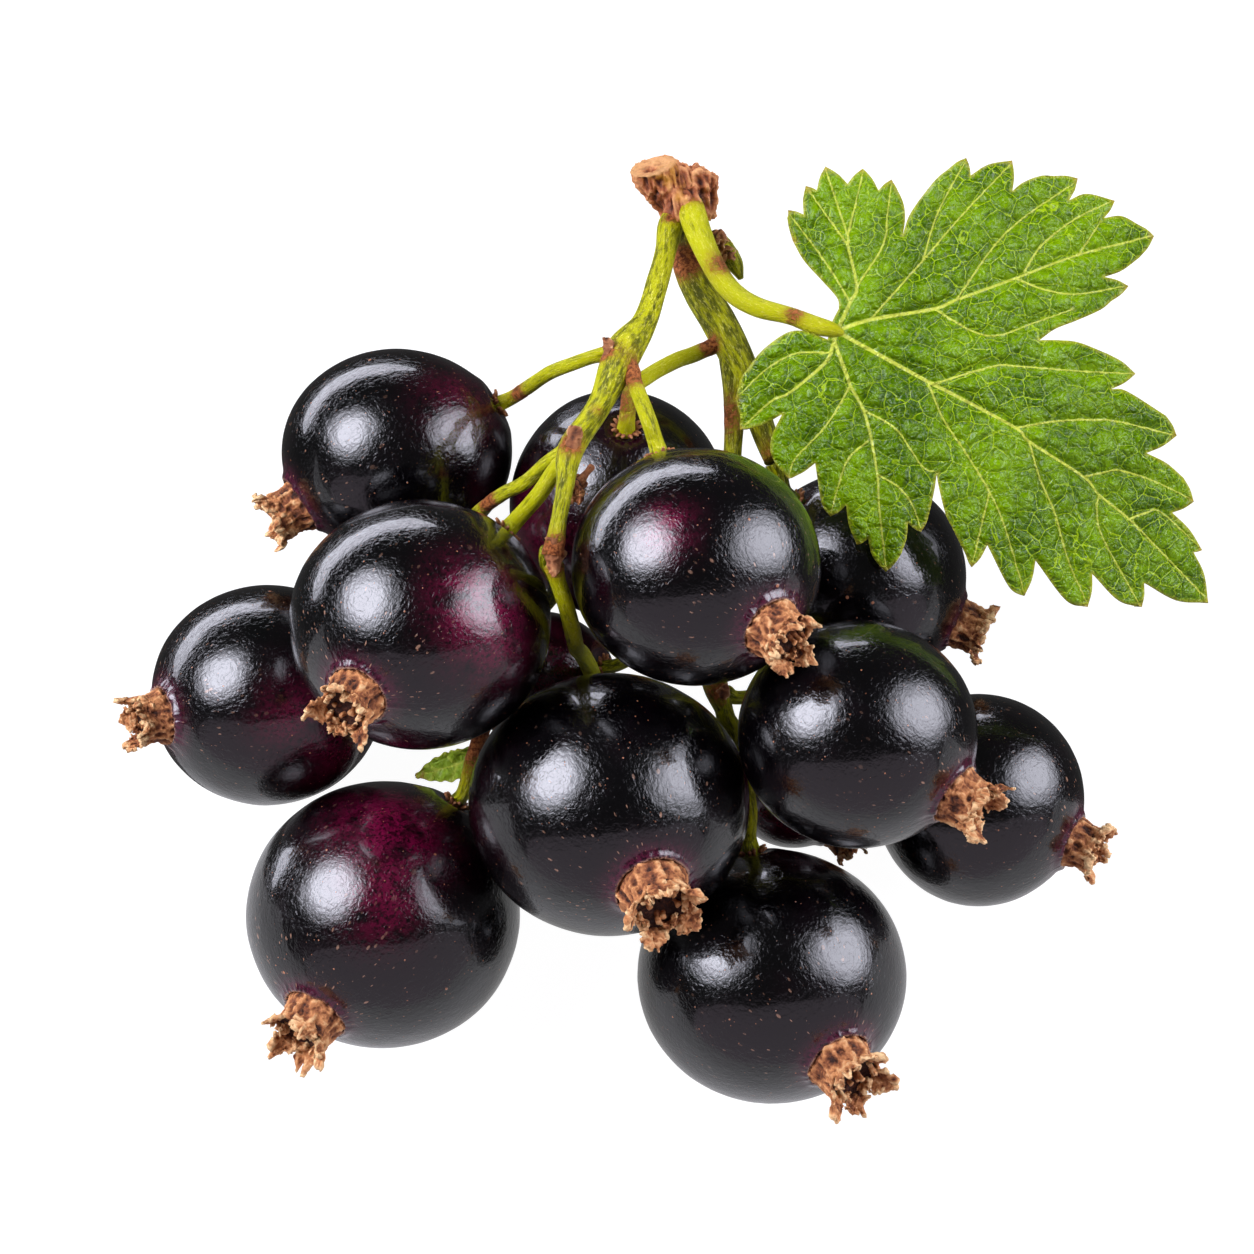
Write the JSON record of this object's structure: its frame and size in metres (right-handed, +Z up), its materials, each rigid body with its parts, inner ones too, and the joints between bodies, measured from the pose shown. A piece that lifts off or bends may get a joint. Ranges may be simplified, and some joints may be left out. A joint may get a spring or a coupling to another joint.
{
  "type": "blackcurrant sprig",
  "caption": "Bunch of ripe blackcurrants on green strigs with a woody spur, dried flower crowns and a lobed, toothed leaf, lying on a surface.",
  "frame": {"origin": "on the surface that the sprig lies on, under the centre of its bounding box", "axes": "+Z up from the surface; +Y towards the cut woody spur; +X towards the tip of the leaf"},
  "size_m": [0.0502, 0.0446, 0.0222],
  "materials": {
    "berry_skin": "near-black glossy fruit skin with wine-red patches and tan lenticels",
    "dried_flower": "crumpled dry tan petals",
    "stem_green": "fresh yellow-green stalk with fine down",
    "spur_bark": "wrinkled brown bark with a pale cut end",
    "leaf_green": "glossy green leaf, quilted between pale veins",
    "bract_brown": "dry brown scale"
  },
  "bodies": {
    "root": {"woody_spur": "spur_bark", "bud": "bract_brown", "front_strig": "stem_green", "rear_strig": "stem_green", "leaf_stalk": "stem_green", "leaf_blade": "leaf_green", "leaflet": "leaf_green", "dried_flower": "dried_flower", "bract_01": "bract_brown", "bract_02": "bract_brown", "bract_03": "bract_brown", "bract_04": "bract_brown", "berry_01": "berry_skin", "berry_02": "berry_skin", "berry_03": "berry_skin", "berry_04": "berry_skin", "berry_05": "berry_skin", "berry_06": "berry_skin", "berry_07": "berry_skin", "berry_08": "berry_skin", "berry_09": "berry_skin", "berry_10": "berry_skin", "berry_11": "berry_skin", "berry_12": "berry_skin", "berry_13": "berry_skin", "crown_01": "dried_flower", "crown_02": "dried_flower", "crown_03": "dried_flower", "crown_04": "dried_flower", "crown_05": "dried_flower", "crown_06": "dried_flower", "crown_07": "dried_flower", "crown_08": "dried_flower", "crown_09": "dried_flower", "crown_10": "dried_flower", "crown_11": "dried_flower", "crown_12": "dried_flower", "crown_13": "dried_flower", "pedicel_01": "stem_green", "pedicel_02": "stem_green", "pedicel_03": "stem_green", "pedicel_04": "stem_green", "pedicel_05": "stem_green", "pedicel_06": "stem_green", "pedicel_07": "stem_green", "pedicel_08": "stem_green", "pedicel_09": "stem_green", "pedicel_10": "stem_green", "pedicel_11": "stem_green", "pedicel_12": "stem_green", "pedicel_13": "stem_green"}
  },
  "joints": []
}
